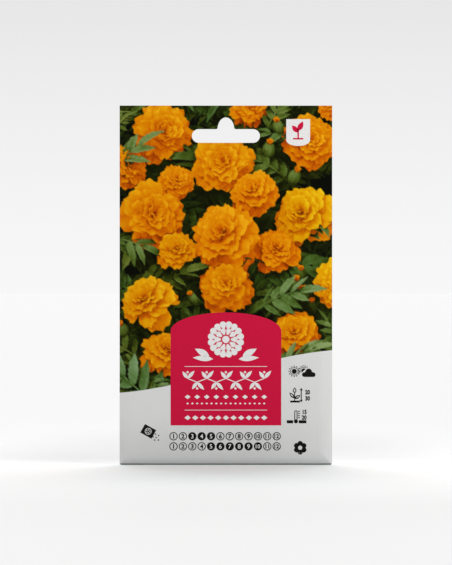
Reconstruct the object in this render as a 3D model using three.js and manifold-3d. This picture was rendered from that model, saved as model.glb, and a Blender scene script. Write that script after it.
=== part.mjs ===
// A printed paper seed packet with a punched hanging slot, at its real size in millimetres.
//
// The packet is one sheet of paper, cut to a flat blank and folded: a glue flap, the front panel,
// the back panel, and a tab that the front panel carries at its lower edge. The flap is glued
// inside the back panel, the tab over its outside, and the two panels to each other at the top,
// where the slot is punched through both. The pocket below holds the seeds.
//
// Frame: X to the right as seen from the front, Y to the back, Z up. The origin is the crown of the
// slot, the point that a display peg carries, in the plane of the back panel.
import * as THREE from "three";
import { mergeVertices } from "three/addons/utils/BufferGeometryUtils.js";
import Module from "manifold-3d";

// Driving dimensions of the packet.
const WIDTH = 100;
const HEIGHT = 169;
const PAPER = 0.14; // a coated paper of about 120 g/m2
const GLUE_GAP = 0.06; // between two layers that are glued together
const GLUE_FILM = 0.04;
const GLUE_INSET = 1.5; // from the edges of the paper that it holds

// The hanging slot: a round-ended slot with a crown over its middle.
const SLOT_WIDTH = 32;
const SLOT_HEIGHT = 6.4;
const CROWN_WIDTH = 7.8;
const CROWN_HEIGHT = 5.5;
const CROWN_FILLET = 0.9;
const TOP_MARGIN = 5.6; // from the crown to the packet's top edge

// The blank's narrow panels.
const FLAP_WIDTH = 12;
const TAB_HEIGHT = 15;
const TAB_INSET = 1.4; // how far the tab's root stands in from the side folds
const TAB_TAPER = 3.6; // how much narrower each side of the tab is at its free edge
const BACK_SHORT_OF_FOLD = 0.7; // the back panel ends this far from the left fold
const BACK_ABOVE_FOLD = 0.9; // and this far above the bottom fold

// The pocket: it rises off its edges over a narrow bevel and swells a little in the middle.
const HEADER_HEIGHT = 25.6; // the flat, glued top of the packet
const BEVEL = 5.5;
const BEVEL_RISE = 1.7;
const BELLY_RISE = 1.2;
const BELLY_CENTRE = 0.42; // of the pocket's height, from the bottom
const POCKET_RAMP = 42; // how far below the header the pocket reaches its full depth

// Levels in Y of each layer's middle plane.
const LAYER = PAPER + GLUE_GAP;
const BACK_Y = 0;
const FLAP_Y = BACK_Y - LAYER;
const LEFT_FOLD_RADIUS = 0.12;
const FRONT_Y = FLAP_Y - 2 * LEFT_FOLD_RADIUS;
const PRESSED_Y = BACK_Y - LAYER; // the front where it is glued to the back
const RIGHT_FOLD_RADIUS = (BACK_Y - FRONT_Y) / 2;
const TAB_Y = BACK_Y + LAYER;
const BOTTOM_FOLD_RADIUS = (TAB_Y - FRONT_Y) / 2;

// Edges of the panels' flat parts.
const TOP = TOP_MARGIN;
const BOTTOM = TOP - HEIGHT;
const HEADER_END = TOP - HEADER_HEIGHT;
const LEFT = -(WIDTH / 2 - LEFT_FOLD_RADIUS - PAPER / 2);
const RIGHT = WIDTH / 2 - RIGHT_FOLD_RADIUS - PAPER / 2;
const FRONT_FOOT = BOTTOM + BOTTOM_FOLD_RADIUS + PAPER / 2;
const BACK_FOOT = BOTTOM + BACK_ABOVE_FOLD;
const FLAP_EDGE = LEFT + FLAP_WIDTH;
const BACK_EDGE = -WIDTH / 2 + BACK_SHORT_OF_FOLD;
const TAB_HALF = WIDTH / 2 - TAB_INSET;
const TAB_TOP = BOTTOM + TAB_HEIGHT;

// Where the front is pressed flat on the back, inside a narrow slope all round.
const PRESSED_LEFT = FLAP_EDGE + 2.4;
const PRESSED_RIGHT = RIGHT - 3.6;
const PRESS_SLOPE = 2;

// How finely the sheet is divided.
const FOLD_STEPS = 5;
const BEVEL_STEPS = 6;
const PANEL_COLUMNS = 12;
const POCKET_ROWS = 9;
const RAMP_ROWS = 8;

// One seed, and the heap of them at the pocket's foot.
const SEED_LENGTH = 8;
const SEED_RADIUS = 0.42;
const TUFT_LENGTH = 3.2;
const TUFT_RADIUS = 0.5;
const SEED_REACH = SEED_LENGTH / 2 + TUFT_LENGTH;
const SEED_COUNT = 64;
const SEED_CLEARANCE = 0.12; // to the paper, in front and behind
const HEAP_HALF_WIDTH = 32;
const HEAP_FOOT = 4.6; // the lowest seed's height over the bottom fold
const HEAP_PEAK = 12;
const HEAP_SLOPES = 0.9; // the range of the seeds' slopes, in radians

const wasm = await Module();
wasm.setup();

const clamp01 = (value) => Math.min(1, Math.max(0, value));
const smooth = (value) => {
  const t = clamp01(value);
  return t * t * (3 - 2 * t);
};

// ---------------------------------------------------------------------------------------------
// Solids and geometries
// ---------------------------------------------------------------------------------------------

// A closed BufferGeometry as a manifold solid.
function solidOf(geometry) {
  const bare = geometry.clone();
  bare.deleteAttribute("normal");
  bare.deleteAttribute("uv");
  const merged = mergeVertices(bare, 1e-4);
  return new wasm.Manifold(
    new wasm.Mesh({
      numProp: 3,
      vertProperties: merged.attributes.position.array,
      triVerts: new Uint32Array(merged.index.array),
    }),
  );
}

// A manifold solid as a flat-shaded BufferGeometry.
function geometryOf(solid) {
  const mesh = solid.getMesh();
  const geometry = new THREE.BufferGeometry();
  geometry.setAttribute("position", new THREE.BufferAttribute(mesh.vertProperties, 3));
  geometry.setIndex(new THREE.BufferAttribute(mesh.triVerts, 1));
  const flat = geometry.toNonIndexed();
  flat.computeVertexNormals();
  return flat;
}

// ---------------------------------------------------------------------------------------------
// The front panel's shape
// ---------------------------------------------------------------------------------------------

// How far the front stands off its folds at (x, z). The nearer of the side and the bottom fold
// rules, so the two bevels meet in a mitred crease that runs up from each lower corner.
function pocketRise(x, z) {
  const toSide = Math.min(x - LEFT, RIGHT - x);
  const toFoot = z - FRONT_FOOT;
  const edge = clamp01(Math.min(toSide, toFoot) / BEVEL);
  const bevel = BEVEL_RISE * Math.sin((edge * Math.PI) / 2);
  const across = Math.cos((clamp01(Math.abs(x) / (WIDTH / 2)) * Math.PI) / 2);
  const pocket = HEADER_END - FRONT_FOOT;
  const up = (z - FRONT_FOOT) / pocket;
  const reach = up < BELLY_CENTRE ? up / BELLY_CENTRE : (1 - up) / (1 - BELLY_CENTRE);
  const belly = BELLY_RISE * across * smooth(reach);
  return (bevel + belly) * smooth((HEADER_END - z) / POCKET_RAMP);
}

// The front's middle plane at (x, z): pressed on the back in the header, swollen in the pocket.
function frontY(x, z) {
  const fromSides = Math.min(x - PRESSED_LEFT, PRESSED_RIGHT - x) / PRESS_SLOPE + 1;
  const fromPocket = (z - HEADER_END) / PRESS_SLOPE + 1;
  const pressed = clamp01(Math.min(fromSides, fromPocket));
  return FRONT_Y + (PRESSED_Y - FRONT_Y) * pressed - pocketRise(x, z);
}

// ---------------------------------------------------------------------------------------------
// The blank, folded
// ---------------------------------------------------------------------------------------------

const spread = (from, to, steps) =>
  Array.from({ length: steps + 1 }, (_, i) => from + ((to - from) * i) / steps);

const bevelStops = spread(0, BEVEL, BEVEL_STEPS).slice(1);

// The columns of the blank, from the flap's free edge round to the back panel's free edge. Each
// gives a point of the layer at height z, and belongs to the flap, a fold, the front or the back.
function blankColumns() {
  const columns = [];
  for (const x of [FLAP_EDGE, (FLAP_EDGE + LEFT) / 2]) {
    columns.push({ panel: "flap", at: (z) => [x, FLAP_Y, z] });
  }
  for (const turn of spread(0, Math.PI, FOLD_STEPS)) {
    const x = LEFT - LEFT_FOLD_RADIUS * Math.sin(turn);
    const y = FLAP_Y - LEFT_FOLD_RADIUS * (1 - Math.cos(turn));
    columns.push({ panel: turn < Math.PI ? "fold" : "front", x: LEFT, at: (z) => [x, y, z] });
  }
  const frontX = [
    ...bevelStops.map((d) => LEFT + d),
    PRESSED_LEFT - PRESS_SLOPE,
    ...spread(PRESSED_LEFT, RIGHT - BEVEL, PANEL_COLUMNS).slice(0, -1),
    ...bevelStops.map((d) => RIGHT - d).reverse(),
  ];
  for (const x of frontX) {
    columns.push({ panel: "front", x, at: (z) => [x, frontY(x, z), z] });
  }
  for (const turn of spread(0, Math.PI, FOLD_STEPS)) {
    const x = RIGHT + RIGHT_FOLD_RADIUS * Math.sin(turn);
    const y = FRONT_Y + RIGHT_FOLD_RADIUS * (1 - Math.cos(turn));
    columns.push({ panel: turn > 0 ? "fold" : "front", x: RIGHT, at: (z) => [x, y, z] });
  }
  for (const x of [RIGHT - WIDTH / 3, RIGHT - (2 * WIDTH) / 3, BACK_EDGE]) {
    columns.push({ panel: "back", at: (z) => [x, BACK_Y, z] });
  }
  return columns;
}

// The heights of the blank's rows above the bottom fold, from the foot of the front panel up.
function blankRows() {
  return [
    FRONT_FOOT,
    BACK_FOOT,
    ...bevelStops.map((d) => FRONT_FOOT + d),
    ...spread(FRONT_FOOT + BEVEL, HEADER_END - POCKET_RAMP, POCKET_ROWS).slice(1),
    ...spread(HEADER_END - POCKET_RAMP, HEADER_END - PRESS_SLOPE, RAMP_ROWS).slice(1),
    HEADER_END,
    TOP,
  ];
}

// The tab's rows: round the bottom fold, then up the outside of the back panel.
function tabRows() {
  const round = spread(0, Math.PI, FOLD_STEPS).slice(1);
  const folded = round.map((turn) => ({
    y: FRONT_Y + BOTTOM_FOLD_RADIUS * (1 - Math.cos(turn)),
    z: FRONT_FOOT - BOTTOM_FOLD_RADIUS * Math.sin(turn),
    inward: 0,
  }));
  const free = [0.5, 1].map((share) => ({
    y: TAB_Y,
    z: FRONT_FOOT + (TAB_TOP - FRONT_FOOT) * share,
    inward: TAB_TAPER * share,
  }));
  return [...folded, ...free];
}

// The folded blank's middle surface, as vertices and four-cornered cells. A cell lists its corners
// counter-clockwise as seen from the printed side.
function foldedSurface() {
  const columns = blankColumns();
  const rows = blankRows();
  const tab = tabRows();
  const vertices = [];
  const cells = [];
  const place = (point) => vertices.push(new THREE.Vector3(...point)) - 1;
  const tabLimit = (x) => THREE.MathUtils.clamp(x, -TAB_HALF, TAB_HALF);

  // Rows below the back panel's edge hold the front alone, drawn in to the tab's root.
  const grid = rows.map((z) =>
    columns.map((column) => {
      if (z >= BACK_FOOT) return place(column.at(z));
      if (column.panel !== "front") return null;
      return place([tabLimit(column.x), frontY(column.x, z), z]);
    }),
  );
  const tabGrid = tab.map(({ y, z, inward }) =>
    columns.map((column) => {
      if (column.panel !== "front") return null;
      const root = tabLimit(column.x);
      return place([root * (1 - inward / TAB_HALF), y, z]);
    }),
  );

  const stack = [...tabGrid.reverse(), ...grid];
  for (let j = 0; j + 1 < stack.length; j += 1) {
    for (let i = 0; i + 1 < columns.length; i += 1) {
      const corners = [stack[j][i], stack[j][i + 1], stack[j + 1][i + 1], stack[j + 1][i]];
      if (corners.every((corner) => corner !== null)) cells.push(corners);
    }
  }
  return { vertices, cells };
}

// Splits a cell along the diagonal that bulges outward, so that the mitred creases stay crisp.
function splitCell([a, b, c, d], vertices) {
  const middle = (p, q) => vertices[p].clone().add(vertices[q]).multiplyScalar(0.5);
  return middle(a, c).y < middle(b, d).y
    ? [[a, b, c], [a, c, d]]
    : [[a, b, d], [b, c, d]];
}

// Gives the surface the paper's thickness, half to each side, and closes it along its open edges.
function paperSolid() {
  const { vertices, cells } = foldedSurface();
  const triangles = cells.flatMap((cell) => splitCell(cell, vertices));
  const normals = vertices.map(() => new THREE.Vector3());
  const openEdges = new Map();
  for (const [a, b, c] of triangles) {
    const ab = vertices[b].clone().sub(vertices[a]);
    const ac = vertices[c].clone().sub(vertices[a]);
    const normal = ab.cross(ac).normalize();
    for (const corner of [a, b, c]) normals[corner].add(normal);
    for (const [p, q] of [[a, b], [b, c], [c, a]]) {
      if (!openEdges.delete(`${q} ${p}`)) openEdges.set(`${p} ${q}`, [p, q]);
    }
  }
  const positions = [];
  for (const side of [0.5, -0.5]) {
    vertices.forEach((vertex, i) => {
      const shift = normals[i].clone().normalize().multiplyScalar(side * PAPER);
      positions.push(...vertex.clone().add(shift).toArray());
    });
  }
  const inner = vertices.length;
  const faces = [];
  for (const [a, b, c] of triangles) {
    faces.push(a, b, c);
    faces.push(inner + c, inner + b, inner + a);
  }
  for (const [p, q] of openEdges.values()) {
    faces.push(q, p, inner + p);
    faces.push(q, inner + p, inner + q);
  }
  const geometry = new THREE.BufferGeometry();
  geometry.setAttribute("position", new THREE.Float32BufferAttribute(positions, 3));
  geometry.setIndex(faces);
  return solidOf(geometry);
}

// ---------------------------------------------------------------------------------------------
// The hanging slot
// ---------------------------------------------------------------------------------------------

// The slot's outline in X and Z, with its crown at the origin.
function slotShape() {
  const top = -CROWN_HEIGHT;
  const round = SLOT_HEIGHT / 2;
  const end = SLOT_WIDTH / 2 - round;
  const side = CROWN_WIDTH / 2;
  const start = Math.asin(CROWN_FILLET / CROWN_HEIGHT);
  const shape = new THREE.Shape();
  shape.moveTo(-end, top - SLOT_HEIGHT);
  shape.lineTo(end, top - SLOT_HEIGHT);
  shape.absarc(end, top - round, round, -Math.PI / 2, Math.PI / 2, false);
  shape.lineTo(side + CROWN_FILLET, top);
  shape.quadraticCurveTo(side, top, side * Math.cos(start), top + CROWN_FILLET);
  shape.absellipse(0, top, side, CROWN_HEIGHT, start, Math.PI - start, false, 0);
  shape.quadraticCurveTo(-side, top, -side - CROWN_FILLET, top);
  shape.lineTo(-end, top);
  shape.absarc(-end, top - round, round, Math.PI / 2, (3 * Math.PI) / 2, false);
  return shape;
}

// The punch: the slot's outline, long enough to pass through every layer.
function slotPunch() {
  const depth = 20 * LAYER;
  const punch = new THREE.ExtrudeGeometry(slotShape(), {
    depth,
    bevelEnabled: false,
    curveSegments: 10,
  });
  punch.translate(0, 0, -depth / 2);
  punch.rotateX(Math.PI / 2);
  return solidOf(punch);
}

// ---------------------------------------------------------------------------------------------
// Glue films
// ---------------------------------------------------------------------------------------------

// A flat film centred between two layers, inset from the edges of the paper that it holds.
function glueFilm([left, right], middleY, [foot, top]) {
  const width = right - left - 2 * GLUE_INSET;
  const height = top - foot - 2 * GLUE_INSET;
  const film = new THREE.BoxGeometry(width, GLUE_FILM, height);
  film.translate((left + right) / 2, middleY, (foot + top) / 2);
  return solidOf(film);
}

// ---------------------------------------------------------------------------------------------
// Seeds
// ---------------------------------------------------------------------------------------------

// A repeatable draw between 0 and 1.
function seededDraw(start) {
  let state = start;
  return () => {
    state = (state * 1664525 + 1013904223) % 4294967296;
    return state / 4294967296;
  };
}

// One seed along X: a slim dark body that thickens towards its tip, and a flared tuft of scales.
function seedGeometry() {
  const profile = [
    [0, -SEED_LENGTH / 2],
    [SEED_RADIUS, 0.2 * SEED_LENGTH],
    [0.7 * SEED_RADIUS, SEED_LENGTH / 2],
    [TUFT_RADIUS, SEED_REACH],
    [0, SEED_REACH],
  ].map(([radius, along]) => new THREE.Vector2(radius, along));
  return new THREE.LatheGeometry(profile, 4).rotateZ(-Math.PI / 2);
}

// The heap at the foot of the pocket. Seeds lie flat between the panels in crossing layers, low
// and wide in the middle, and each bites a little into those under it. A seed's layer keeps it
// clear of the back panel and of the front panel at both of its ends.
function seedHeap() {
  const draw = seededDraw(20);
  const seed = seedGeometry();
  const backmost = FLAP_Y - PAPER / 2 - SEED_CLEARANCE - TUFT_RADIUS;
  let heap = null;
  for (let i = 0; i < SEED_COUNT; i += 1) {
    const x = (draw() * 2 - 1) * HEAP_HALF_WIDTH;
    const slope = (draw() - 0.5) * HEAP_SLOPES;
    const lift = HEAP_PEAK * (1 - (x / (HEAP_HALF_WIDTH + 5)) ** 2) * draw();
    const z = FRONT_FOOT + HEAP_FOOT + lift + Math.abs(Math.sin(slope)) * SEED_REACH;
    const ends = [-1, 0, 1].map((end) =>
      frontY(x + end * SEED_REACH * Math.cos(slope), z + end * SEED_REACH * Math.sin(slope)),
    );
    const foremost = Math.max(...ends) + PAPER / 2 + SEED_CLEARANCE + TUFT_RADIUS;
    const layer = THREE.MathUtils.lerp(backmost, foremost, (i % 3) / 2);
    const placed = seed.clone().rotateX(draw() * Math.PI);
    if (i % 2) placed.rotateY(Math.PI);
    const one = solidOf(placed.rotateY(-slope).translate(x, layer, z));
    heap = heap ? heap.add(one) : one;
  }
  return heap.decompose().reduce((most, one) => (one.volume() > most.volume() ? one : most));
}

// ---------------------------------------------------------------------------------------------
// The assembly
// ---------------------------------------------------------------------------------------------

const paper = new THREE.MeshStandardMaterial({ color: 0xe4e5e3, roughness: 0.55, metalness: 0 });
const glue = new THREE.MeshStandardMaterial({ color: 0xe9e2c8, roughness: 0.4, metalness: 0 });
const husk = new THREE.MeshStandardMaterial({ color: 0x2b2620, roughness: 0.8, metalness: 0 });

function addMesh(group, name, solid, material) {
  const mesh = new THREE.Mesh(geometryOf(solid), material);
  mesh.name = name;
  group.add(mesh);
}

const packet = new THREE.Group();
packet.name = "seed_packet";
const punch = slotPunch();
const insideY = BACK_Y - LAYER / 2;
const outsideY = BACK_Y + LAYER / 2;
const headerGlue = glueFilm([PRESSED_LEFT, PRESSED_RIGHT], insideY, [HEADER_END, TOP]);
const flapGlue = glueFilm([LEFT, FLAP_EDGE], insideY, [BACK_FOOT, TOP]);
const tabGlueEnd = TAB_HALF - TAB_TAPER;
const tabGlue = glueFilm([-tabGlueEnd, tabGlueEnd], outsideY, [BACK_FOOT, TAB_TOP]);

addMesh(packet, "paper_sachet", paperSolid().subtract(punch), paper);
addMesh(packet, "header_glue", headerGlue.subtract(punch), glue);
addMesh(packet, "flap_glue", flapGlue, glue);
addMesh(packet, "tab_glue", tabGlue, glue);
addMesh(packet, "seeds", seedHeap(), husk);

export default packet;
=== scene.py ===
"""A printed paper seed packet, standing upright on a pale surface in soft studio light."""
import math

import bpy
import numpy as np
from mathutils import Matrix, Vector
from mathutils.bvhtree import BVHTree
from mathutils.geometry import delaunay_2d_cdt
from mathutils.kdtree import KDTree


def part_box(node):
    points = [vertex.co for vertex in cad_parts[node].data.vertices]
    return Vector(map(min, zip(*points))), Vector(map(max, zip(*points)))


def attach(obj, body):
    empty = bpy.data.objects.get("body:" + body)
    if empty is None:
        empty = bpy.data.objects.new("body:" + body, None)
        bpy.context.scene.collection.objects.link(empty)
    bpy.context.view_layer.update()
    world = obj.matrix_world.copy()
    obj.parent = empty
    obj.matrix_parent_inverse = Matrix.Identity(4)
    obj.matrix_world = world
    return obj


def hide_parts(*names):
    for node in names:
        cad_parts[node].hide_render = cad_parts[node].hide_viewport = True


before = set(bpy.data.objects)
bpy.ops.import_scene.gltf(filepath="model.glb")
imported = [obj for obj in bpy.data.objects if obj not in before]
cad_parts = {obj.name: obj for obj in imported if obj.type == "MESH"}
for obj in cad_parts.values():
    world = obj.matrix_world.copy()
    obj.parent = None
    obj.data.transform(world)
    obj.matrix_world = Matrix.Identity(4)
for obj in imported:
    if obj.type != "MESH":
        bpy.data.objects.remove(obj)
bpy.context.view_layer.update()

# ---------------------------------------------------------------------------------------------
# The sachet. One sheet of coated paper, cut to a blank and folded: a glue flap, the front panel,
# the back panel, and a tab under the front that turns up over the back. It is glued along the
# flap and the tab, pressed shut at the top, and punched there with the hanging slot.
# ---------------------------------------------------------------------------------------------

mm = 0.001
paper = 0.14  # how thick it is
layer = 0.2  # from one glued layer of paper to the next
left_fold, right_fold, foot_fold = 0.12, 0.22, 0.32  # radii of the sheet's middle plane
front_level = -layer - 2 * left_fold
header_height, flap_width, tab_height, tab_taper = 25.6, 12.0, 14.6, 3.6
bevel, bevel_rise, belly_rise = 5.5, 1.7, 1.2
pocket_ramp = 42.0  # how far under the header the pocket swells
sharp_turn = math.radians(40)

low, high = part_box("paper_sachet")
half_width, top, foot = high.x / mm, high.z / mm, low.z / mm
header_end = top - header_height
left = -(half_width - left_fold - paper / 2)
right = half_width - right_fold - paper / 2
front_foot = foot + foot_fold + paper / 2
back_foot = foot + 0.9
flap_root = left - math.pi * left_fold
flap_edge = flap_root - flap_width
back_start = right + math.pi * right_fold
back_edge = back_start + right + half_width - 0.7
tab_half = half_width - 1.4
tab_root = front_foot - math.pi * foot_fold
tab_end = tab_root - tab_height
pressed_left, pressed_right = left + 14.4, right - 3.6  # the glued part of the header
press_run = 2.0  # over which the front comes down to where it is pressed on the back
press_start, press_foot = pressed_left - press_run, header_end - press_run
right_start = right - bevel - 1.5  # from here on, the mesh is finer


def smooth(value):
    t = np.clip(value, 0.0, 1.0)
    return t * t * (3.0 - 2.0 * t)


def pocket_rise(x, z):
    """How far the front stands off its folds: a mitred bevel round the pocket, and its belly."""
    to_side, to_foot = np.minimum(x - left, right - x), z - front_foot
    inward = np.clip(np.minimum(to_side, to_foot) / bevel, 0.0, 1.0)
    side_bevel = 0.35 * np.sin(inward * math.pi / 2) + 0.65 * inward
    foot_bevel = 0.9 * (1.0 - (1.0 - inward) ** 3.4) + 0.38 * inward
    rise = bevel_rise * (foot_bevel + (side_bevel - foot_bevel) * smooth((to_foot - 5.0) / 25.0))
    crease = 0.05 * np.exp(-(((to_side - bevel) / 0.5) ** 2)) * smooth((to_foot - bevel) / 2.0)
    up = (z - front_foot) / (header_end - front_foot)
    reach = np.where(up < 0.42, up / 0.42, (1.0 - up) / 0.58)
    across = np.cos(np.clip(np.abs(x) / half_width, 0.0, 1.0) * math.pi / 2)
    ripple = 0.05 * np.sin(x / 9.0 + 1.3) * np.sin(z / 13.0)
    ripple = ripple * smooth(np.minimum(to_side, to_foot) / 14.0)
    rise = rise + belly_rise * across * smooth(reach) + ripple - crease
    return rise * smooth((header_end - z) / pocket_ramp)


def foot_radius(x):
    """The fold at the foot is tight in the corners and rounder where the pocket opens."""
    return foot_fold + 0.26 * smooth(np.minimum(x - left, right - x) / 5.0)


def front_depth(x, z):
    """The front's middle plane: pressed on the back in the header, swollen over the pocket."""
    from_rim = np.minimum(np.minimum(x - pressed_left, pressed_right - x), z - header_end)
    pressed = np.clip(from_rim / press_run + 1.0, 0.0, 1.0)
    opened = 2.0 * (foot_radius(x) - foot_fold) * smooth(1.0 - (z - front_foot) / 12.0)
    return front_level + (-layer - front_level) * smooth(pressed) - pocket_rise(x, z) - opened


def folded(u, v):
    """Places (u, v) on the flat blank, in mm, carried to the folded sheet's middle plane."""
    x, z = np.clip(u, left, right), np.maximum(v, front_foot)
    y = front_depth(x, z)
    turn_right = np.clip((u - right) / right_fold, 0.0, math.pi)
    turn_left = np.clip((left - u) / left_fold, 0.0, math.pi)
    turn_foot = np.clip((front_foot - v) / foot_fold, 0.0, math.pi)
    round_foot = foot_radius(x)
    z = z + (round_foot - foot_fold) * np.clip(1.0 - (v - front_foot) / 3.0, 0.0, 1.0)
    y = y + right_fold * (1 - np.cos(turn_right)) + left_fold * (1 - np.cos(turn_left))
    y = y + round_foot * (1 - np.cos(turn_foot))
    x = x + right_fold * np.sin(turn_right) - np.maximum(u - back_start, 0.0)
    x = x - left_fold * np.sin(turn_left) + np.maximum(flap_root - u, 0.0)
    z = z - round_foot * np.sin(turn_foot) + np.maximum(tab_root - v, 0.0)
    return np.stack([x, y, z], axis=-1)


def unit(vectors):
    return vectors / np.maximum(np.linalg.norm(vectors, axis=-1, keepdims=True), 1e-9)


def on_sheet(places, height):
    """Points in metres, height mm over the sheet's printed face, for (u, v) places in mm."""
    u, v = places[:, 0], places[:, 1]
    step = 0.002
    along = folded(u + step, v) - folded(u - step, v)
    upward = folded(u, v + step) - folded(u, v - step)
    outward = unit(np.cross(along, upward))
    return (folded(u, v) + outward * (paper / 2 + np.reshape(height, (-1, 1)))) * mm


def anticlockwise(places, faces):
    """The triangles, all turned the same way round."""
    a, b, c = places[faces[:, 0]], places[faces[:, 1]], places[faces[:, 2]]
    turned = (b - a)[:, 0] * (c - a)[:, 1] - (b - a)[:, 1] * (c - a)[:, 0] < 0
    faces[turned] = faces[turned][:, ::-1]
    return faces


def filled(loops, inner, clear):
    """Triangles over closed loops, of which the inner ones are holes, through the inner points
    that are clear of the rims. The loops' points come first, in their own order."""
    ring = np.concatenate([np.asarray(loop, dtype=float) for loop in loops])
    tree = KDTree(len(ring))
    for index, (u, v) in enumerate(ring):
        tree.insert((u, v, 0.0), index)
    tree.balance()
    places = np.array(ring.tolist() + [[u, v] for u, v in inner if tree.find((u, v, 0.0))[2] > clear])
    starts = np.cumsum([0] + [len(loop) for loop in loops])
    rims = [list(range(a, b)) for a, b in zip(starts, starts[1:])]
    inside_without_holes = 2
    flat = [Vector(place) for place in places.tolist()]
    _, _, faces, origins, _, _ = delaunay_2d_cdt(flat, [], rims, inside_without_holes, 1e-7)
    source = np.array([origin[0] if origin else -1 for origin in origins])
    faces = anticlockwise(places, source[np.array(faces)])
    used, faces = np.unique(faces, return_inverse=True)
    return places[used], faces.reshape(-1, 3)


def in_scene(name, data):
    """A new object of the scene, with its mesh, curve, light or camera."""
    made = bpy.data.objects.new(name, data)
    bpy.context.collection.objects.link(made)
    return made


def new_piece(name, points, faces, material):
    """A finished piece of paper or print at the origin, with its place in its mesh."""
    mesh = bpy.data.meshes.new(name)
    mesh.from_pydata(points.tolist(), [], faces.tolist())
    mesh.validate()
    mesh.shade_smooth()
    mesh.set_sharp_from_angle(angle=sharp_turn)
    mesh.materials.append(material)
    piece = in_scene(name, mesh)
    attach(piece, "root")
    return piece


def sheet_solid(places, faces, face_height, back_height, back=None):
    """A closed layer on the sheet. back is its underside, if that is divided more coarsely: its
    places begin with the same rim points."""
    back_places, back_faces = back if back else (places, faces)
    points = np.concatenate([on_sheet(places, face_height), on_sheet(back_places, back_height)])
    directed = {(a, b) for t in faces.tolist() for a, b in zip(t, t[1:] + t[:1])}
    rim = np.array([(a, b) for a, b in directed if (b, a) not in directed])
    rim = rim[np.lexsort((rim[:, 1], rim[:, 0]))]
    under = len(places)
    a, b = rim[:, 0], rim[:, 1]
    walls = np.concatenate([np.stack([b, a, a + under], 1), np.stack([b, a + under, b + under], 1)])
    return points, np.concatenate([faces, back_faces[:, ::-1] + under, walls])


def stops(start, *runs):
    """A rising list of places, from the start through runs of (end, pitch)."""
    values = []
    for end, pitch in runs:
        values.append(np.linspace(start, end, max(2, round((end - start) / pitch) + 1)))
        start = end
    return np.unique(np.round(np.concatenate(values), 6))


def between(values, a, b):
    """The values that lie inside a and b, in the order from a to b, with a itself first."""
    inside = [value for value in values if min(a, b) + 1e-4 < value < max(a, b) - 1e-4]
    return [a] + (inside if a < b else inside[::-1])


def outline(corners, columns, rows):
    """A loop through corners, divided where its straight runs meet the columns and rows."""
    loop = []
    for (u0, v0), (u1, v1) in zip(corners, corners[1:] + corners[:1]):
        if abs(v1 - v0) < 1e-9:
            loop += [(u, v0) for u in between(columns, u0, u1)]
        elif abs(u1 - u0) < 1e-9:
            loop += [(u0, v) for v in between(rows, v0, v1)]
        else:
            steps = np.linspace(0.0, 1.0, 9)[:-1]
            loop += [(u0 + (u1 - u0) * s, v0 + (v1 - v0) * s) for s in steps]
    return loop


def arc(x, z, across, upward, start_turn, end_turn, count):
    """Points on part of an ellipse, with turns in degrees from +X towards +Z."""
    turns = np.radians(np.linspace(start_turn, end_turn, count)).tolist()
    return [(x + across * math.cos(turn), z + upward * math.sin(turn)) for turn in turns]


def hanging_slot():
    """The slot's outline in x and z: a round-ended slot with a crown over its middle."""
    crown_half, crown_height, fillet = 3.9, 5.5, 0.9
    round_end, reach, shelf = 3.2, 12.8, -5.5
    rise = math.asin(fillet / crown_height)
    foot_x, side_x = crown_half + fillet, crown_half * math.cos(rise)
    loop = arc(reach, shelf - round_end, round_end, round_end, -90.0, 90.0, 20)
    for share in np.linspace(0.0, 1.0, 6).tolist():
        mix = [(1 - share) ** 2, 2 * share * (1 - share), share**2]
        loop.append((mix[0] * foot_x + mix[1] * crown_half + mix[2] * side_x, shelf + mix[2] * fillet))
    loop += arc(0.0, shelf, crown_half, crown_height, math.degrees(rise), 90.0, 20)[1:]
    return loop + [(-x, z) for x, z in loop[-2::-1]]


class Shade:
    """A socket of a tree's nodes, so that shader maths is written as plain arithmetic."""

    def __init__(self, tree, socket=None):
        self.tree, self.socket = tree, socket

    def node(self, kind, settings=None, sockets=None, out=0):
        """Any node: its settings are set first, then the values or links of its sockets."""
        made = self.tree.nodes.new(kind)
        for key, value in (settings or {}).items():
            setattr(made, key, value)
        for key, value in (sockets or {}).items():
            if isinstance(value, Shade):
                self.tree.links.new(value.socket, made.inputs[key])
            else:
                made.inputs[key].default_value = value
        return Shade(self.tree, made.outputs[out])

    def maths(self, operation, *values):
        return self.node("ShaderNodeMath", {"operation": operation}, dict(enumerate(values)))

    def __add__(self, other):
        return self.maths("ADD", self, other)

    def __radd__(self, other):
        return self.maths("ADD", other, self)

    def __sub__(self, other):
        return self.maths("SUBTRACT", self, other)

    def __rsub__(self, other):
        return self.maths("SUBTRACT", other, self)

    def __mul__(self, other):
        return self.maths("MULTIPLY", self, other)

    def __rmul__(self, other):
        return self.maths("MULTIPLY", other, self)

    def blend(self, first, second):
        """A colour between first and second, by this value."""
        settings = {"data_type": "RGBA"}
        return self.node("ShaderNodeMix", settings, {0: self, 6: first, 7: second}, out=2)

    def part(self, axis):
        return self.node("ShaderNodeSeparateXYZ", None, {"Vector": self}, out=axis)

    def mask(self, none_at, full_at, least=0.0, edge="SMOOTHSTEP"):
        """From least, where this value is none_at, to 1 where it is full_at."""
        reach = {"Value": self, "From Min": none_at, "From Max": full_at, "To Min": least}
        return self.node("ShaderNodeMapRange", {"interpolation_type": edge}, reach)

    def noise(self, scale, detail):
        return self.node("ShaderNodeTexNoise", None, {"Vector": self, "Scale": scale, "Detail": detail})

    def stretched(self, share):
        """These coordinates, with what is drawn on them longer along Z."""
        return self.node("ShaderNodeMapping", None, {"Vector": self, "Scale": (1.0, 1.0, share)})

    def bump(self, strength, depth):
        relief = {"Height": self, "Strength": strength, "Distance": depth}
        return self.node("ShaderNodeBump", None, relief, out="Normal")


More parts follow.
